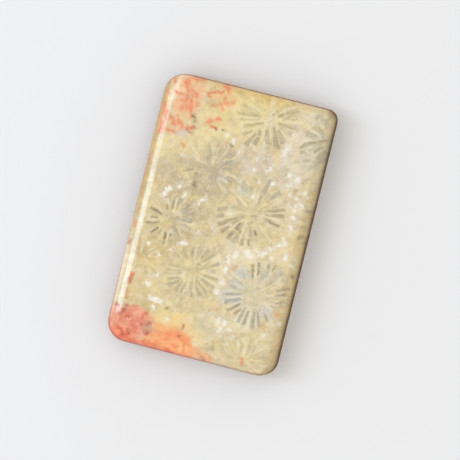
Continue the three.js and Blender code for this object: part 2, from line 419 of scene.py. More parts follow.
# The cups: middle, reach, then the chambers by colour, each as start, end, half widths and strength.
OLIVE, BROWN, BLUE = (158, 147, 108), (128, 109, 78), (158, 153, 137)
cups = [
    (3.6, 15.7, 4.3, [
        (OLIVE, [
            (4.9, 15.4, 7.0, 15.5, 0.15, 0.26, 0.7), (5.1, 15.0, 6.75, 14.5, 0.10, 0.30, 0.6),
            (4.9, 14.5, 5.95, 13.1, 0.18, 0.34, 0.8), (4.3, 14.7, 5.2, 12.5, 0.14, 0.34, 0.8),
            (5.2, 12.7, 5.5, 12.2, 0.15, 0.18, 0.8), (3.4, 14.2, 4.0, 12.5, 0.15, 0.36, 0.7),
            (3.35, 14.1, 3.5, 13.5, 0.18, 0.20, 0.9), (2.55, 13.9, 2.4, 13.3, 0.22, 0.24, 0.8),
            (2.5, 12.9, 2.15, 12.0, 0.24, 0.28, 0.9), (1.9, 13.3, 1.1, 11.6, 0.15, 0.30, 0.8),
            (1.3, 13.7, 0.4, 12.9, 0.12, 0.25, 0.9), (2.5, 15.0, 0.2, 14.1, 0.10, 0.18, 0.7),
            (1.4, 15.85, -1.0, 15.5, 0.12, 0.16, 0.5), (1.3, 15.1, -0.5, 14.9, 0.08, 0.16, 0.4),
            (1.2, 16.5, -0.9, 16.75, 0.12, 0.16, 0.35), (4.4, 16.5, 5.0, 16.8, 0.14, 0.16, 0.9),
            (5.2, 16.15, 5.9, 16.6, 0.10, 0.14, 0.7), (6.2, 16.5, 7.0, 16.75, 0.12, 0.16, 0.4),
            (5.6, 17.1, 6.7, 17.9, 0.14, 0.28, 0.7), (4.2, 17.5, 4.7, 17.9, 0.18, 0.2, 0.4),
            (4.9, 18.0, 5.2, 18.3, 0.12, 0.14, 0.4), (3.4, 17.2, 3.6, 18.0, 0.15, 0.2, 0.4),
            (3.7, 16.5, 3.75, 16.55, 0.15, 0.15, 0.8), (4.1, 17.0, 4.15, 17.05, 0.12, 0.12, 0.7),
            (3.3, 16.9, 3.3, 16.95, 0.10, 0.10, 0.6), (2.4, 16.75, 2.45, 16.8, 0.14, 0.14, 0.5),
            (2.7, 17.4, 2.4, 18.1, 0.10, 0.16, 0.3), (1.9, 16.9, 0.9, 17.5, 0.10, 0.18, 0.3),
            (3.9, 11.8, 3.7, 12.2, 0.22, 0.2, 0.25), (1.75, 11.4, 1.8, 11.2, 0.18, 0.15, 0.5),
        ]),
    ]),
    (11.8, 14.9, 3.8, [
        (OLIVE, [
            (10.9, 15.6, 9.6, 16.2, 0.12, 0.28, 0.7), (10.55, 16.0, 10.2, 16.2, 0.14, 0.14, 1.0),
            (10.2, 15.0, 8.9, 15.0, 0.25, 0.42, 0.4), (11.6, 14.75, 9.4, 13.9, 0.08, 0.19, 0.85),
            (9.2, 13.75, 8.5, 13.1, 0.20, 0.16, 0.95), (10.9, 14.0, 10.3, 13.55, 0.14, 0.18, 0.5),
            (11.2, 13.7, 10.5, 12.9, 0.12, 0.20, 0.8), (10.2, 13.3, 9.7, 13.0, 0.12, 0.14, 0.4),
            (9.2, 12.6, 8.7, 12.4, 0.16, 0.20, 0.8), (11.6, 13.2, 10.9, 12.1, 0.10, 0.18, 0.7),
            (9.8, 11.5, 9.3, 11.35, 0.12, 0.10, 0.6), (10.8, 11.6, 10.3, 10.4, 0.15, 0.24, 0.4),
            (9.8, 17.9, 9.5, 17.4, 0.22, 0.22, 0.5), (10.3, 17.7, 10.5, 17.3, 0.14, 0.14, 0.5),
            (11.4, 18.0, 11.0, 17.4, 0.20, 0.24, 0.55), (10.8, 16.9, 11.1, 17.2, 0.12, 0.12, 0.5),
        ]),
        (BLUE, [
            (11.9, 13.2, 11.5, 11.6, 0.16, 0.28, 0.6), (11.3, 12.3, 10.9, 10.8, 0.10, 0.18, 0.4),
            (11.0, 15.3, 10.6, 15.3, 0.14, 0.14, 0.3),
        ]),
    ]),
    (-2.6, 7.0, 3.9, [
        (BLUE, [
            (-1.1, 7.6, -0.1, 7.65, 0.16, 0.22, 0.9), (-1.6, 8.3, -0.15, 8.7, 0.14, 0.30, 0.7),
            (-1.8, 9.1, -0.5, 9.7, 0.14, 0.28, 0.6), (-1.2, 6.6, -0.3, 6.5, 0.14, 0.18, 0.5),
            (-1.7, 6.4, -1.4, 6.65, 0.12, 0.12, 0.4), (-2.6, 6.0, -2.2, 5.2, 0.24, 0.3, 0.3),
            (-1.2, 5.9, -0.7, 5.6, 0.18, 0.2, 0.3), (-3.9, 10.4, -3.5, 9.5, 0.07, 0.07, 0.5),
        ]),
        (BROWN, [
            (-3.7, 8.5, -3.6, 8.9, 0.16, 0.16, 0.35), (-2.9, 9.5, -2.8, 9.4, 0.16, 0.16, 0.45),
            (-2.8, 10.5, -2.6, 11.0, 0.16, 0.16, 0.3), (-5.6, 8.1, -5.1, 7.6, 0.10, 0.12, 0.4),
            (-6.4, 6.0, -5.3, 6.5, 0.07, 0.09, 0.5), (-4.7, 6.0, -4.6, 6.1, 0.12, 0.12, 0.5),
            (0.0, 6.2, 0.3, 5.9, 0.08, 0.08, 0.6), (-2.7, 4.0, -2.6, 4.1, 0.14, 0.14, 0.5),
        ]),
    ]),
    (-6.4, -0.8, 3.7, [
        (BROWN, [
            (-6.75, 0.6, -6.8, 1.9, 0.12, 0.12, 1.0), (-8.2, -0.45, -9.2, -0.1, 0.10, 0.19, 1.0),
            (-9.2, -0.05, -9.7, -0.02, 0.12, 0.12, 0.8), (-8.6, -1.1, -9.3, -1.2, 0.07, 0.09, 0.9),
            (-8.3, -1.7, -9.8, -2.2, 0.07, 0.15, 0.8), (-8.1, -2.5, -8.9, -3.3, 0.12, 0.13, 0.95),
            (-7.6, -2.7, -7.8, -3.1, 0.14, 0.14, 0.6), (-7.4, 0.4, -7.65, 0.95, 0.07, 0.07, 0.9),
            (-6.85, -2.9, -6.85, -3.6, 0.13, 0.15, 1.0), (-6.15, -2.95, -6.1, -3.1, 0.16, 0.16, 1.0),
        ]),
        (BLUE, [
            (-6.2, 0.9, -5.95, 2.1, 0.10, 0.24, 0.75), (-5.5, 0.4, -4.7, 1.55, 0.10, 0.26, 0.8),
            (-5.1, 0.3, -3.8, 0.7, 0.12, 0.27, 0.8), (-5.7, -0.6, -3.8, -0.4, 0.12, 0.32, 0.75),
            (-6.0, -1.7, -5.6, -2.3, 0.14, 0.21, 0.9), (-7.0, -4.0, -6.8, -4.3, 0.22, 0.22, 0.5),
            (-5.3, -2.6, -5.1, -3.3, 0.2, 0.3, 0.35),
        ]),
        (OLIVE, [
            (-5.1, -1.2, -3.7, -1.6, 0.22, 0.38, 0.4), (-8.3, -3.3, -8.3, -3.9, 0.22, 0.22, 0.4),
            (-8.0, 0.5, -8.9, 0.9, 0.2, 0.3, 0.3),
        ]),
    ]),
    (4.3, 2.7, 4.8, [
        (BLUE, [
            (5.0, 5.9, 5.6, 7.6, 0.20, 0.22, 0.9), (5.3, 6.6, 5.45, 7.1, 0.2, 0.2, 0.5),
            (4.75, 4.2, 4.9, 5.1, 0.14, 0.20, 0.85), (5.3, 5.3, 5.7, 5.8, 0.16, 0.24, 0.6),
            (6.2, 5.3, 7.3, 6.2, 0.20, 0.33, 0.6), (0.4, 1.5, -0.4, 1.2, 0.18, 0.22, 0.8),
            (0.4, 2.35, -0.5, 2.1, 0.18, 0.25, 0.65), (2.3, 3.4, 1.75, 4.0, 0.22, 0.12, 0.6),
            (2.0, 6.5, 2.15, 6.5, 0.22, 0.22, 0.7), (3.55, 5.4, 3.35, 6.0, 0.18, 0.24, 0.5),
            (6.1, 1.9, 6.3, 1.9, 0.18, 0.18, 0.6),
        ]),
        (OLIVE, [
            (2.9, -0.7, 2.55, -1.8, 0.17, 0.24, 0.75), (3.8, -1.2, 3.8, -1.85, 0.22, 0.26, 0.75),
            (4.3, 0.8, 4.7, -0.3, 0.14, 0.20, 0.7), (5.8, 3.25, 8.4, 4.15, 0.10, 0.20, 0.85),
            (6.1, 2.95, 8.5, 3.3, 0.12, 0.26, 0.75), (6.0, 2.35, 6.7, 2.25, 0.13, 0.18, 0.8),
            (5.2, 3.0, 5.5, 3.1, 0.16, 0.18, 0.6), (4.05, 1.1, 4.45, 1.45, 0.14, 0.14, 0.7),
            (3.1, 0.0, 3.15, -0.25, 0.12, 0.12, 0.9), (2.5, 1.2, 1.9, 0.6, 0.12, 0.20, 0.8),
            (2.2, 1.5, 1.0, 0.8, 0.10, 0.17, 0.8), (1.0, 0.65, 0.1, 0.1, 0.17, 0.20, 0.95),
            (2.4, 5.4, 2.2, 6.1, 0.35, 0.40, 0.3), (3.3, 4.0, 3.4, 3.5, 0.06, 0.06, 0.5),
            (3.4, 7.2, 3.3, 7.5, 0.2, 0.2, 0.3), (3.4, 0.9, 3.1, 0.2, 0.06, 0.08, 0.5),
        ]),
        (BROWN, [
            (6.9, 2.05, 8.2, 1.8, 0.15, 0.19, 0.85), (5.05, 0.4, 5.4, -0.1, 0.10, 0.18, 0.9),
            (4.5, -1.0, 4.8, -1.7, 0.07, 0.10, 0.7), (2.9, 0.9, 2.6, 0.1, 0.10, 0.22, 0.95),
            (2.25, -0.4, 1.75, -1.4, 0.16, 0.20, 0.9), (1.5, 0.1, 0.7, -0.7, 0.15, 0.22, 0.95),
            (4.2, 2.25, 4.8, 2.45, 0.06, 0.07, 0.6), (3.0, 1.85, 3.1, 1.85, 0.12, 0.12, 0.5),
            (8.0, 3.3, 8.3, 3.3, 0.12, 0.12, 0.5),
        ]),
    ]),
    (-1.7, -7.0, 3.9, [
        (OLIVE, [
            (-1.8, -5.4, -1.75, -3.8, 0.14, 0.22, 0.65), (-2.5, -5.1, -2.5, -4.0, 0.17, 0.18, 0.65),
            (-2.45, -3.9, -2.45, -3.8, 0.18, 0.18, 0.6), (-1.1, -5.0, -0.5, -3.9, 0.14, 0.24, 0.8),
            (-0.6, -5.4, 0.4, -4.2, 0.14, 0.20, 0.7), (-0.9, -6.6, 1.3, -5.3, 0.10, 0.20, 0.65),
            (0.0, -6.45, 1.0, -6.35, 0.16, 0.14, 0.35), (-0.2, -7.3, 1.6, -7.4, 0.14, 0.22, 0.65),
            (-0.1, -7.9, 1.3, -8.5, 0.12, 0.21, 0.7), (-0.2, -8.7, 0.6, -9.5, 0.14, 0.21, 0.8),
            (-0.8, -9.2, -0.15, -10.0, 0.14, 0.19, 0.7), (-1.1, -8.0, -1.05, -9.2, 0.09, 0.12, 0.55),
            (-0.7, -8.2, -0.55, -8.6, 0.08, 0.10, 0.6), (-1.7, -8.7, -1.6, -9.5, 0.22, 0.22, 0.65),
            (-1.85, -10.0, -1.7, -10.5, 0.12, 0.13, 0.65), (-1.4, -9.9, -1.3, -10.4, 0.08, 0.1, 0.7),
            (-2.6, -9.1, -2.85, -10.2, 0.14, 0.20, 0.7), (-3.0, -8.8, -3.6, -10.2, 0.12, 0.22, 0.75),
            (-3.6, -8.9, -4.7, -9.7, 0.14, 0.24, 0.85), (-3.4, -8.45, -5.0, -8.9, 0.09, 0.20, 0.65),
            (-3.6, -7.6, -5.3, -7.75, 0.12, 0.18, 0.5), (-4.0, -7.0, -5.35, -6.95, 0.12, 0.18, 0.5),
            (-3.6, -6.2, -5.0, -5.6, 0.14, 0.22, 0.3), (-3.2, -5.5, -3.9, -4.2, 0.12, 0.2, 0.3),
            (-1.35, -5.95, -1.05, -6.0, 0.08, 0.08, 0.7), (-1.4, -6.6, -1.2, -7.0, 0.10, 0.08, 0.5),
            (-2.1, -5.6, -2.0, -6.0, 0.07, 0.07, 0.6), (-2.5, -6.9, -2.4, -7.0, 0.12, 0.12, 0.4),
        ]),
        (BLUE, [
            (-2.45, -4.4, -2.45, -4.7, 0.14, 0.14, 0.4), (1.25, -5.3, 1.3, -5.25, 0.16, 0.16, 0.6),
            (-0.45, -3.85, -0.4, -3.8, 0.14, 0.14, 0.7), (-4.3, -9.4, -4.2, -9.4, 0.14, 0.14, 0.7),
        ]),
    ]),
    (7.2, -8.3, 4.7, [
        (BLUE, [
            (8.1, -4.4, 8.0, -5.4, 0.28, 0.28, 0.35), (9.6, -4.4, 9.0, -5.7, 0.30, 0.30, 0.25),
            (9.8, -9.1, 10.6, -9.2, 0.14, 0.20, 0.6), (8.5, -9.5, 9.9, -11.2, 0.10, 0.28, 0.5),
            (8.2, -10.4, 8.8, -12.3, 0.11, 0.21, 0.9), (7.75, -10.6, 7.9, -12.5, 0.13, 0.21, 0.9),
            (6.9, -10.7, 6.65, -12.5, 0.13, 0.21, 0.9), (6.4, -10.2, 5.85, -12.3, 0.11, 0.21, 0.9),
            (5.3, -9.2, 3.5, -10.0, 0.10, 0.21, 0.85), (5.2, -8.55, 3.4, -9.0, 0.09, 0.15, 0.95),
            (4.4, -7.75, 3.7, -7.7, 0.16, 0.14, 0.6), (5.2, -7.2, 3.8, -6.8, 0.18, 0.24, 0.4),
            (5.3, -5.9, 4.6, -5.5, 0.35, 0.30, 0.3), (10.5, -5.3, 10.4, -5.35, 0.14, 0.14, 0.8),
            (10.05, -4.5, 10.1, -4.5, 0.14, 0.14, 0.7),
        ]),
        (BROWN, [
            (5.95, -4.25, 6.4, -5.8, 0.16, 0.10, 0.85), (6.8, -3.85, 7.0, -5.3, 0.15, 0.10, 0.85),
            (8.15, -3.7, 8.12, -4.1, 0.14, 0.14, 0.75), (9.05, -3.55, 8.75, -4.3, 0.14, 0.09, 0.65),
            (10.2, -7.5, 11.1, -7.15, 0.06, 0.08, 0.8), (10.35, -8.55, 10.8, -8.4, 0.11, 0.11, 0.7),
            (5.5, -9.9, 4.1, -11.1, 0.07, 0.16, 0.95), (5.8, -10.6, 5.1, -11.3, 0.10, 0.14, 0.85),
            (9.1, -10.4, 9.7, -11.3, 0.07, 0.11, 0.6), (3.6, -10.05, 3.5, -10.1, 0.14, 0.14, 0.5),
        ]),
        (OLIVE, [
            (10.1, -6.8, 11.5, -6.3, 0.09, 0.18, 0.9), (8.5, -6.6, 9.0, -6.0, 0.08, 0.11, 0.8),
            (9.0, -8.3, 9.8, -8.4, 0.10, 0.15, 0.5), (7.3, -7.2, 7.5, -7.2, 0.12, 0.12, 0.4),
            (7.2, -8.4, 7.2, -8.5, 0.1, 0.1, 0.4), (7.7, -9.4, 7.7, -9.6, 0.12, 0.12, 0.4),
        ]),
    ]),
    (7.8, -17.4, 3.3, [
        (OLIVE, [
            (7.2, -16.2, 7.1, -15.0, 0.10, 0.16, 0.3), (8.1, -16.4, 8.4, -15.2, 0.10, 0.18, 0.35),
            (8.7, -16.3, 9.0, -15.2, 0.10, 0.14, 0.3), (9.4, -16.4, 10.2, -15.6, 0.10, 0.16, 0.25),
            (6.3, -16.6, 5.6, -15.7, 0.10, 0.16, 0.25), (4.9, -16.9, 4.4, -16.2, 0.14, 0.14, 0.3),
            (3.2, -16.7, 3.3, -16.7, 0.30, 0.30, 0.6), (8.6, -17.2, 9.0, -17.6, 0.12, 0.16, 0.2),
        ]),
    ]),
    (12.6, 3.4, 3.0, [
        (BLUE, [
            (11.5, 4.75, 11.5, 4.6, 0.30, 0.30, 0.75), (11.5, 2.5, 11.4, 2.3, 0.28, 0.28, 0.5),
            (11.9, 0.4, 11.95, 0.2, 0.20, 0.20, 0.7),
        ]),
        (OLIVE, [
            (11.1, 0.9, 11.6, 1.15, 0.22, 0.24, 0.8), (11.3, 3.4, 11.35, 3.2, 0.18, 0.18, 0.4),
            (9.25, 7.2, 9.2, 6.6, 0.18, 0.20, 0.6), (10.0, 6.3, 10.1, 6.5, 0.12, 0.12, 0.5),
            (10.0, 8.3, 9.95, 8.5, 0.14, 0.12, 0.5), (10.7, 9.1, 9.95, 8.8, 0.10, 0.10, 0.5),
        ]),
    ]),
    (-9.4, -6.9, 2.8, [
        (OLIVE, [
            (-9.0, -5.6, -8.6, -4.9, 0.10, 0.16, 0.3), (-8.6, -6.6, -9.3, -6.1, 0.12, 0.14, 0.5),
            (-8.2, -7.0, -7.5, -7.1, 0.08, 0.14, 0.3), (-9.6, -7.3, -9.8, -8.4, 0.14, 0.16, 0.4),
            (-8.7, -8.0, -8.3, -8.9, 0.10, 0.14, 0.25), (-10.1, -6.0, -10.0, -5.4, 0.12, 0.12, 0.4),
        ]),
    ]),
]


def nearest_steps(across, along, x, y, reach, best, best_x, best_y):
    """Keeps the way to the nearest cup so far, with its distance squared as a share of the cup's reach."""
    out_x, out_y = across - x, along - y
    away = Wire.math("DIVIDE", out_x * out_x + out_y * out_y, reach * reach)
    nearer = Wire.math("LESS_THAN", away, best)
    return (
        Wire.math("MINIMUM", away, best),
        best_x + (out_x - best_x) * nearer,
        best_y + (out_y - best_y) * nearer,
    )


nearest = recipe("nearest_cup", dict.fromkeys((
    "across", "along", "x", "y", "reach", "best", "best_x", "best_y",
), "Float"), dict.fromkeys(("best", "best_x", "best_y"), "Float"), nearest_steps)

# Thin radial walls run out from every cup until they meet those of its neighbours.
NO_CUP_YET, SPOKES_ROUND, SPOKES_OUT = 99.0, 6.5, 0.4
best, spoke_x, spoke_y = NO_CUP_YET, 0.0, 0.0
for x, y, reach, _ in cups:
    best = Wire.node("ShaderNodeGroup", {"node_tree": nearest}, {
        "across": plan[0], "along": plan[1], "x": x, "y": y, "reach": reach, "best": best,
        "best_x": spoke_x, "best_y": spoke_y,
    }, "best")
    spoke_x, spoke_y = (Wire(best.socket.node.outputs[name]) for name in ("best_x", "best_y"))
spoke = Wire.math("SQRT", spoke_x * spoke_x + spoke_y * spoke_y)
fan = Wire.node("ShaderNodeCombineXYZ", {}, {
    0: Wire.math("DIVIDE", spoke_x, spoke) * SPOKES_ROUND,
    1: Wire.math("DIVIDE", spoke_y, spoke) * SPOKES_ROUND,
    2: spoke * SPOKES_OUT,
})
walls = noise(fan, 1.0, 3.0, 0.6)
ring = between(best, 1.3, 0.8, 0.3, 1.0) * between(best, 0.008, 0.07)
stone_colour = tint(stone_colour, shade(240, 230, 192), between(walls, 0.51, 0.66, 0, 0.45) * ring)
stone_colour = tint(stone_colour, shade(176, 163, 124), between(walls, 0.48, 0.33, 0, 0.38) * ring)

# Single walls that stand out, each from its start to its end.
bright_walls = [
    (3.7, 15.2, 4.2, 12.6), (3.1, 14.9, 1.6, 11.9), (4.5, 14.9, 5.6, 12.8), (2.4, 14.6, 0.3, 13.2),
    (2.6, 15.3, -0.4, 14.3), (1.6, 15.5, -1.0, 15.0), (4.6, 16.0, 6.9, 16.9), (5.0, 15.8, 7.2, 16.2),
    (4.6, 15.2, 6.5, 13.6), (3.1, 14.6, 3.0, 12.6), (7.3, -10.6, 7.35, -12.8), (6.6, -10.3, 6.25, -12.4),
    (8.0, -10.5, 8.5, -12.3), (6.0, -10.3, 5.4, -12.2), (6.43, -4.3, 6.75, -5.7), (5.5, -8.9, 3.8, -9.5),
    (5.6, -9.5, 4.0, -10.5), (8.6, -9.6, 9.9, -11.7), (9.0, -8.8, 10.4, -9.0), (5.4, -8.2, 3.5, -8.4),
    (4.4, 4.2, 4.5, 5.5), (5.3, 5.3, 6.1, 6.1), (2.1, 4.2, 3.3, 3.4), (5.9, 3.1, 8.4, 3.7),
    (1.7, 0.4, 3.3, 1.4), (3.6, 0.9, 3.4, -1.4), (2.0, 0.0, 2.5, 0.8), (5.8, 2.7, 8.0, 2.5),
    (-6.5, 1.7, -6.4, 0.2), (-5.6, 0.4, -5.1, 1.4), (-5.6, -0.1, -3.9, 0.9), (-5.6, -0.8, -3.6, -1.0),
    (-6.6, -2.8, -6.5, -3.6), (-1.5, -5.7, -1.1, -4.3), (-1.1, -6.1, 0.2, -4.7), (-0.9, -6.4, 1.5, -5.7),
    (-0.9, -6.9, 1.3, -6.9), (-0.8, -7.5, 1.3, -7.95), (-0.8, -8.0, 0.5, -9.0), (-1.4, -8.0, -1.1, -9.7),
    (-2.1, -8.0, -2.05, -9.9), (-2.6, -8.3, -3.1, -9.9), (-2.9, -8.0, -4.4, -9.1),
    (-2.9, -7.9, -4.9, -8.6), (11.4, 14.1, 9.6, 13.3), (11.4, 14.4, 9.0, 14.3), (10.8, 15.3, 9.4, 15.6),
    (11.0, 13.2, 10.2, 12.2), (7.7, -16.4, 7.7, -14.8), (6.9, -16.4, 6.5, -15.0),
]
depth = 0.0
for line in bright_walls:
    depth = mark(plan, line, 0.03, 0.07, 0.6, depth)[0]
stone_colour = tint(stone_colour, shade(244, 231, 186), depth)

# The chambers, cloudy in places and faint where a wall crosses. The widest are paler in the middle.
cloudy = between(noise(place, 2.0, 3.0, 0.65), 0.3, 0.6, 0.54, 0.88)
depth_of_colour = cloudy * between(walls, 0.64, 0.5, 0.7, 1.0)
for *_, groups in cups:
    inside = FAR_OUTSIDE
    for colour, chambers in groups:
        depth = 0.0
        for *line, inner, outer, strength in chambers:
            depth, inside = mark(plan, line, inner, outer, strength, depth, inside)
        stone_colour = tint(stone_colour, shade(*colour), depth * depth_of_colour)
    stone_colour = tint(stone_colour, shade(200, 199, 180), between(inside, 0.14, 0.32, 0, 0.55))

# The upper end is a deeper yellow. The left edge is darkened to ochre from its middle up, and in its lower
# half it is painted pale peach as painted light.
upper_end = between(along, 17.9, 18.5) * between(across, -8.0, -5.0)
stone_colour = tint(stone_colour, shade(248, 238, 212), upper_end, "MULTIPLY")
left_edge = between(across, -10.9, -11.7)
stone_colour = tint(stone_colour, shade(228, 202, 166), left_edge * between(along, -5.0, 2.0), "MULTIPLY")
# Painted light: the lower left edge, turned towards the softboxes, is made paler in colour.
stone_colour = tint(stone_colour, shade(252, 230, 204), left_edge * between(along, -3.0, -8.0, 0, 0.6))

# The broad iron stains in the lower left corner, and a grey and a lilac patch beside iron marks.
mottling = between(noise(place, 1.0, 5.0, 0.68), 0.38, 0.62)
stone_colour = cloud(stone_colour, shade(244, 206, 136), 0.5, -3.0, -15.2, 3.2, 1.8, 1.9, 0.05)
amber = tint(shade(246, 138, 80), shade(254, 172, 108), mottling)
for x, y, width, length, share in (
    (-3.2, -17.8, 3.4, 2.4, 0.95), (-1.0, -17.8, 1.6, 1.9, 0.8), (3.0, -18.2, 0.9, 0.5, 0.6),
    (0.7, -18.2, 1.5, 1.0, 0.55),
):
    stone_colour = cloud(stone_colour, amber, share, x, y, width, length, 1.8, 0.15)
coral_red = tint(shade(226, 122, 92), shade(246, 170, 136), mottling)
for x, y, width, length, share in (
    (-9.6, -16.6, 3.2, 2.7, 0.92), (-8.5, -14.3, 1.2, 0.9, 0.75), (-7.3, -15.6, 2.0, 1.7, 0.75),
):
    stone_colour = cloud(stone_colour, coral_red, share, x, y, width, length, 1.6, 0.3)
fiery = tint(shade(230, 100, 62), shade(254, 140, 90), mottling)
for x, y, width, length, share in ((-10.4, -18.2, 2.2, 1.2, 0.85), (-6.0, -19.0, 5.4, 0.9, 0.8)):
    stone_colour = cloud(stone_colour, fiery, share, x, y, width, length, 1.7, 0.15)
stone_colour = cloud(stone_colour, shade(186, 146, 112), 0.6, -6.0, -16.2, 0.9, 0.9, 1.6, 0.1)
stone_colour = cloud(stone_colour, shade(206, 190, 186), 0.6, -8.3, 11.0, 1.2, 0.5, 1.2, 0.3)

# In the upper left corner the rust has left a pale orange bloom, round a pale patch that is a painted
# highlight.
for x, y, width, length, share in (
    (-8.6, 16.2, 2.2, 3.0, 0.75), (-9.6, 18.2, 1.4, 0.9, 0.7), (-9.4, 12.0, 1.8, 1.0, 0.8),
    (-3.4, 17.4, 1.2, 2.0, 0.65), (-4.2, 13.4, 1.3, 0.8, 0.5), (-11.2, 13.0, 0.6, 3.0, 0.6),
    (-2.6, 16.4, 1.0, 0.8, 0.4),
):
    bloom = mottling * share
    stone_colour = cloud(stone_colour, shade(248, 172, 120), bloom, x, y, width, length, 1.8, 0.1)
# Painted highlight: the glint along the left edge, carried on as a pale strip into the upper left corner.
stone_colour = cloud(stone_colour, shade(253, 244, 214), 0.6, -10.2, 16.8, 0.45, 1.9)

# The small marks of iron, by colour and strength, each as start, end and half width.
stains = [
    ((234, 118, 74), 0.85, [
        (-11.3, 11.8, -11.1, 10.4, 0.16), (-11.4, 14.3, -11.2, 13.3, 0.20),
        (-11.4, 16.1, -11.2, 15.9, 0.16), (-11.0, 17.9, -10.8, 17.6, 0.14),
        (-10.2, 16.3, -9.6, 16.1, 0.12), (-9.0, 18.2, -8.4, 16.6, 0.08), (-8.0, 16.6, -7.7, 15.0, 0.08),
        (-7.9, 14.9, -7.4, 13.6, 0.05), (-10.4, 11.1, -9.8, 10.8, 0.16), (-9.2, 13.2, -8.9, 12.6, 0.12),
        (-8.5, 18.7, -7.2, 18.7, 0.10), (-9.3, 18.1, -8.8, 17.6, 0.20), (-9.0, 17.4, -8.6, 17.0, 0.12),
        (-8.7, 16.8, -8.6, 16.1, 0.15), (-8.3, 17.3, -8.0, 17.0, 0.16), (-7.7, 16.9, -7.2, 16.4, 0.20),
        (-8.5, 15.9, -8.6, 15.4, 0.14), (-9.1, 15.3, -8.8, 15.0, 0.12), (-7.85, 16.2, -7.8, 15.6, 0.11),
        (-7.8, 15.1, -7.5, 14.1, 0.12), (-7.5, 14.0, -7.3, 13.4, 0.09), (-9.9, 16.15, -9.2, 16.1, 0.12),
        (-11.0, 11.7, -10.9, 10.6, 0.24), (-10.9, 13.4, -10.8, 12.5, 0.20),
        (-8.9, 14.6, -8.9, 14.0, 0.12), (-8.3, 14.7, -8.2, 14.4, 0.12), (-6.9, 15.5, -6.85, 15.3, 0.13),
        (-10.0, 12.6, -9.2, 12.4, 0.26), (-9.6, 12.0, -9.3, 11.9, 0.18), (-9.1, 12.3, -8.4, 12.1, 0.20),
        (-8.3, 12.1, -8.1, 11.7, 0.15), (-7.5, 11.9, -6.9, 12.0, 0.18), (-9.6, 10.9, -9.0, 10.8, 0.14),
        (-8.1, 18.5, -7.9, 18.4, 0.14), (-5.3, 17.45, -3.9, 17.8, 0.09), (-5.85, 17.1, -5.6, 17.2, 0.11),
        (-5.6, 16.75, -5.3, 16.8, 0.07), (-3.9, 18.7, -3.3, 18.5, 0.25), (-3.3, 18.3, -3.0, 17.8, 0.11),
        (-3.4, 17.2, -3.2, 16.6, 0.15), (-3.0, 16.6, -2.2, 16.8, 0.12), (-3.8, 16.1, -3.3, 15.6, 0.09),
        (-4.9, 13.3, -4.3, 13.7, 0.13), (-3.8, 13.9, -3.4, 14.1, 0.13), (-4.3, 12.9, -3.6, 12.8, 0.11),
        (-11.6, -2.5, -11.5, -2.9, 0.22), (-10.1, -9.6, -10.1, -9.9, 0.18),
        (7.5, -17.2, 7.6, -17.9, 0.08),
    ]),
    ((212, 132, 78), 0.7, [
        (-7.3, 18.8, -6.9, 18.6, 0.2), (-3.8, 17.9, -5.4, 17.5, 0.06), (-5.4, 17.5, -5.6, 17.1, 0.08),
        (-10.15, -9.6, -10.15, -10.6, 0.16), (-4.9, 15.7, -4.4, 15.8, 0.18),
        (-10.4, -11.8, -10.1, -12.8, 0.15), (-4.6, -18.7, -4.3, -18.7, 0.2), (-7.6, 9.6, -7.2, 9.3, 0.11),
    ]),
    ((216, 168, 112), 0.8, [
        (10.6, -10.1, 10.7, -9.9, 0.40), (9.4, -12.0, 9.3, -12.1, 0.3), (3.6, -5.2, 3.6, -5.3, 0.3),
    ]),
    ((176, 74, 58), 0.85, [
        (-7.4, 11.5, -6.7, 11.3, 0.11), (-3.75, 12.75, -3.55, 12.65, 0.09),
        (-6.8, 12.1, -6.5, 12.2, 0.05), (-11.8, -5.5, -11.7, -5.2, 0.16),
        (-10.25, -10.3, -10.2, -10.7, 0.16), (-10.4, -15.1, -10.0, -14.6, 0.24),
        (-9.8, -13.9, -9.6, -14.0, 0.14), (-11.3, -14.1, -11.1, -14.2, 0.14),
        (-6.95, -14.2, -6.85, -14.2, 0.12), (-6.45, -15.75, -6.1, -15.65, 0.15),
        (-7.15, -16.0, -7.15, -16.1, 0.11), (-9.9, -17.4, -9.4, -18.2, 0.10),
        (-6.35, -17.0, -6.0, -16.9, 0.22), (-6.3, -15.6, -6.2, -15.7, 0.16),
        (-1.4, -14.7, -1.4, -15.1, 0.07), (-1.65, -16.3, -1.55, -16.3, 0.10),
        (2.0, -18.6, 2.3, -18.7, 0.16), (-9.4, -15.5, -9.2, -15.4, 0.10),
        (-8.8, -17.2, -8.6, -17.8, 0.08),
    ]),
    ((110, 94, 58), 0.9, [
        (-7.05, 13.75, -6.7, 13.05, 0.17), (-4.2, -12.9, -4.1, -12.9, 0.06),
        (-2.5, 12.8, -2.4, 12.8, 0.04), (-0.9, 11.1, -0.8, 11.0, 0.04), (-4.65, 4.7, -4.55, 4.5, 0.18),
        # The last dark dot is a small pit in the face, drawn only as a dark colour.
        (11.55, -4.4, 11.5, -4.6, 0.05),
    ]),
    ((252, 226, 158), 0.6, [
        (-1.15, -17.3, -1.15, -18.2, 0.09), (-0.4, -17.5, -0.4, -17.9, 0.09),
        (-4.5, -14.8, -4.0, -14.9, 0.2),
    ]),
]
patchy = between(noise(place, 1.6, 4.0, 0.65), 0.36, 0.6, 0.45, 1.0)
for colour, strength, marks in stains:
    inside = FAR_OUTSIDE
    for *line, width in marks:
        inside = mark(rough_plan, line, width, width, reach=inside, cap=width)[1]
    stone_colour = tint(stone_colour, shade(*colour), between(inside, -0.34, 0.14, 0, strength) * patchy)

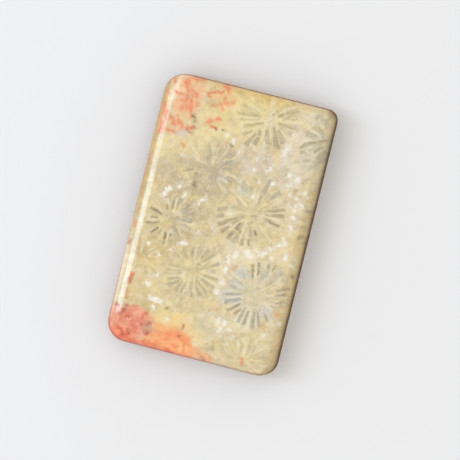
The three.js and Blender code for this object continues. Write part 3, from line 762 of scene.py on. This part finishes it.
# White flecks of quartz with a milky halo, each as start, end and half width.
flecks = [
    (-8.5, 2.2, -8.2, 2.7, 0.26), (-8.15, 2.9, -7.8, 3.2, 0.24), (-5.5, 2.8, -5.5, 3.0, 0.25),
    (-6.6, 3.8, -6.5, 3.9, 0.15), (-3.1, 2.7, -3.0, 2.8, 0.12), (-3.4, 2.3, -3.3, 2.3, 0.12),
    (-2.5, -1.6, -2.4, -1.6, 0.12), (-4.9, -3.9, -3.7, -3.6, 0.13), (-5.8, -4.9, -5.7, -4.9, 0.12),
    (-8.9, -4.9, -8.8, -4.9, 0.18), (-7.2, -6.0, -7.1, -6.1, 0.14), (-6.6, -8.9, -6.6, -8.6, 0.22),
    (-7.6, -10.3, -7.4, -10.3, 0.25), (-6.8, -12.1, -5.5, -12.15, 0.30), (-6.2, -13.2, -6.1, -13.2, 0.18),
    (-4.0, -14.5, -3.9, -14.4, 0.18), (-1.9, 12.2, -1.8, 12.2, 0.18), (-0.7, 11.8, -0.7, 11.5, 0.20),
    (0.3, 10.3, 0.4, 10.3, 0.12), (3.0, 10.1, 3.0, 10.0, 0.14), (3.7, 4.9, 3.7, 4.8, 0.16),
    (1.1, 1.7, 1.2, 1.8, 0.18), (-0.75, -0.5, -0.7, -0.5, 0.11), (4.2, 6.9, 4.2, 7.0, 0.12),
    (5.9, 7.3, 6.0, 7.4, 0.22), (8.1, 7.4, 8.3, 7.6, 0.28), (8.6, 6.3, 8.6, 6.4, 0.20),
    (7.8, 8.9, 8.0, 8.9, 0.28), (9.1, 8.5, 9.2, 8.7, 0.24), (10.6, 7.0, 10.6, 7.1, 0.16),
    (11.1, 6.5, 11.1, 6.6, 0.10), (10.2, 5.5, 10.7, 5.1, 0.12), (9.8, 3.5, 9.9, 3.4, 0.20),
    (9.8, 5.0, 9.8, 5.1, 0.12), (9.8, 1.9, 9.8, 2.0, 0.20), (9.5, -0.3, 9.5, -0.1, 0.22),
    (8.3, -1.2, 8.3, -1.3, 0.22), (7.3, -2.1, 7.4, -2.2, 0.20), (6.6, -2.6, 6.8, -2.6, 0.24),
    (4.9, -2.8, 5.4, -3.2, 0.44), (8.2, -2.7, 8.3, -2.7, 0.12), (10.1, -2.3, 10.1, -2.1, 0.22),
    (11.1, -3.1, 11.2, -3.1, 0.20), (3.5, -3.2, 3.5, -3.3, 0.20), (2.5, -4.0, 2.6, -4.6, 0.28),
    (2.5, -5.9, 2.5, -5.7, 0.28), (2.5, -7.7, 2.5, -7.5, 0.24), (2.1, -9.1, 2.1, -8.9, 0.30),
    (1.7, -12.2, 1.8, -12.2, 0.12), (3.1, -12.8, 3.1, -12.9, 0.26), (4.1, -12.9, 4.1, -13.0, 0.24),
    (3.6, -14.0, 3.6, -14.1, 0.24), (4.9, -13.6, 4.9, -13.7, 0.14), (5.6, -14.5, 5.6, -14.6, 0.14),
    (9.7, -13.4, 9.7, -13.5, 0.12), (11.2, -11.2, 11.2, -11.3, 0.22), (-7.3, 8.2, -7.2, 8.2, 0.14),
    (6.5, 11.4, 6.7, 12.3, 0.14), (4.8, 8.8, 5.2, 9.2, 0.20), (2.9, 8.4, 3.1, 8.6, 0.14),
    (3.2, -3.7, 3.4, -3.6, 0.20), (6.9, -2.3, 7.0, -2.4, 0.18), (7.8, -1.5, 7.9, -1.6, 0.18),
    (8.7, -0.7, 8.9, -0.6, 0.20), (9.2, 0.3, 9.2, 0.4, 0.14), (6.0, -2.1, 6.1, -2.2, 0.14),
    (9.6, 6.0, 9.7, 6.1, 0.14), (9.6, 4.3, 9.6, 4.4, 0.13),
]
crumbly_plan = wander(plan, 2.4, 1.15, 3.0)
milky = between(noise(place, 2.2, 3.0, 0.65), 0.36, 0.58, 0.5, 1.0)
inside = FAR_OUTSIDE
for *line, width in flecks:
    inside = mark(crumbly_plan, line, width, width, reach=inside, cap=width)[1]
stone_colour = tint(stone_colour, shade(234, 226, 204), between(inside, -0.60, -0.05, 0, 0.2) * milky)
stone_colour = tint(stone_colour, shade(247, 242, 228), between(inside, -0.16, 0.07, 0, 0.9) * milky)

# Its finish: the face and its rolled edge are polished, with a thin coat of wax over them. The side
# walls are only smoothed, and the sawn back has faint saw lines and some stone dust. Painted shade darkens
# the walls, the right end and the rim.
SAW_DEPTH = 0.02 * MM
back = between(above_back, 0.55, 0.1)
# Painted shade: the right side, which faces away from the softboxes, is darkened in colour as if unlit.
right_side_shade = between(across, 10.6, 11.2) * (1 - back)
# Partly a guessed brown and partly painted shade: the walls darken towards the back, twice as strongly on
# the unlit right side.
wall_brown_and_shade = between(above_back, 3.5, 1.5) * (1 - back) * (right_side_shade * 0.5 + 0.5)
# Painted shade: a thin dark line along the rim of the other edges, where the rolled edge turns down,
# reaching higher towards the lower end.
above_rim = above_back - between(along, 0.0, -16.0, 0.0, 0.3)
rim_shade = between(above_rim, 3.65, 3.2) * (1 - back) * (1 - right_side_shade) * 0.8
stone_colour = tint(stone_colour, shade(242, 238, 226), right_side_shade, "MULTIPLY")
# Painted shade: the right end of the rolled edge darkens as it turns away from the light.
right_roll_shade = between(above_back, 4.25, 3.0) * right_side_shade
stone_colour = tint(stone_colour, shade(188, 170, 134), right_roll_shade, "MULTIPLY")
stone_colour = tint(stone_colour, shade(156, 132, 98), wall_brown_and_shade, "MULTIPLY")
stone_colour = tint(stone_colour, shade(170, 118, 84), rim_shade, "MULTIPLY")
stone_colour = tint(stone_colour, shade(206, 194, 170), back * 0.5)
saw_lines = Wire.node("ShaderNodeTexWave", {}, {
    "Vector": place, "Scale": 1.2, "Distortion": 1.5, "Detail": 2.0,
}, 1)
stone_colour = tint(stone_colour, shade(190, 176, 150), between(saw_lines, 0.5, 1.0, 0, 0.35) * back)
smoothness = noise(place, 0.6, 2.0) * 0.1 + 0.1 + between(above_back, 3.7, 2.9) * 0.7
wax = between(above_back, 3.2, 3.7) * between(noise(place, 0.5, 3.0, 0.6), 0.36, 0.6, 0.55, 1.0)
tool_marks = Wire.node("ShaderNodeBump", {}, {
    "Strength": 0.5, "Distance": SAW_DEPTH, "Height": saw_lines * back + noise(place, 6.0) * back,
})

principled = polished_coral.node_tree.nodes["Principled BSDF"]
for wire, socket in (
    (stone_colour, "Base Color"), (smoothness, "Roughness"), (wax, "Coat Weight"), (tool_marks, "Normal"),
):
    polished_coral.node_tree.links.new(wire.socket, principled.inputs[socket])
principled.inputs["IOR"].default_value = 1.54
principled.inputs["Coat Roughness"].default_value = 0.06
stone.data.materials.append(polished_coral)

# The table.
# A plain pale table top with a matt finish, which the slice rests on. It lies a hair below the back,
# so that the two faces don't flicker.
TABLE_SIZE, TABLE_GAP = 3, 0.02 * MM
bpy.ops.object.select_all(action="DESELECT")
bpy.ops.mesh.primitive_plane_add(size=TABLE_SIZE, location=(0, 0, -TABLE_GAP))
table = bpy.context.object
table.name = "table_top"
pale_table = bpy.data.materials.new("pale_table")
pale_table.use_nodes = True
matt_white = pale_table.node_tree.nodes["Principled BSDF"]
matt_white.inputs["Base Color"].default_value = (0.86, 0.86, 0.86, 1)
matt_white.inputs["Roughness"].default_value = 0.9
table.data.materials.append(pale_table)

# The light.
# Two softboxes at the left, a long one and a short strong one over its end, draw the narrow white
# glint along the left edge, and a pale room gives most of the light.
ROOM_WHITE, ROOM_STRENGTH = (1, 0.975, 0.948, 1), 0.898
studio = bpy.data.worlds.new("studio")
studio.use_nodes = True
studio.node_tree.nodes["Background"].inputs["Color"].default_value = ROOM_WHITE
studio.node_tree.nodes["Background"].inputs["Strength"].default_value = ROOM_STRENGTH
bpy.context.scene.world = studio
bpy.context.scene.view_settings.view_transform = "Standard"

SOFTBOX_LEAN, SOFTBOX_WIDTH, SOFTBOX_AWAY = math.radians(47), 0.28, 0.5
SOFTBOX_WHITE = (0.62, 0.79, 1.0)
for name, length, along_y, energy in (
    ("softbox", 0.17, 0.025, 0.36), ("bright_end", 0.036, -0.044, 0.27),
):
    softbox = bpy.data.lights.new(name, "AREA")
    softbox.shape = "RECTANGLE"
    softbox.size, softbox.size_y = length, SOFTBOX_WIDTH
    softbox.energy, softbox.color = energy, SOFTBOX_WHITE
    lamp = bpy.data.objects.new(name, softbox)
    bpy.context.scene.collection.objects.link(lamp)
    leaning = Vector((math.sin(SOFTBOX_LEAN), 0, -math.cos(SOFTBOX_LEAN)))
    lamp.rotation_euler = leaning.to_track_quat("-Z", "Y").to_euler()
    lamp.location = Vector((0, along_y, 0)) - leaning * SOFTBOX_AWAY

# The camera.
# It looks down on the slice from a metre away, a little from its right and its upper end, and is
# turned so that the slice leans to the right in the picture.
ASIDE, BEYOND, TURNED = math.radians(8.0), math.radians(2.8), math.radians(13.88)
PICTURE_WIDTH, PIXELS_PER_MM = 460, 7.2475
camera = bpy.data.objects.new("camera", bpy.data.cameras.new("camera"))
bpy.context.scene.collection.objects.link(camera)
camera.data.sensor_width = 36
camera.data.lens = camera.data.sensor_width * 1000 / (PICTURE_WIDTH / PIXELS_PER_MM)
camera.data.clip_start, camera.data.clip_end = 0.01, 10
towards = Vector((math.sin(ASIDE) * math.cos(BEYOND), math.sin(BEYOND), math.cos(ASIDE) * math.cos(BEYOND)))
upright = (Vector((0, 1, 0)) - towards * towards.y).normalized()
up = upright * math.cos(TURNED) - upright.cross(towards) * math.sin(TURNED)
middle_of_view = Vector((1.39, -0.45, 2.5)) * MM
turn = Matrix((up.cross(towards), up, towards)).transposed().to_4x4()
camera.matrix_world = Matrix.Translation(middle_of_view + towards) @ turn
bpy.context.scene.camera = camera
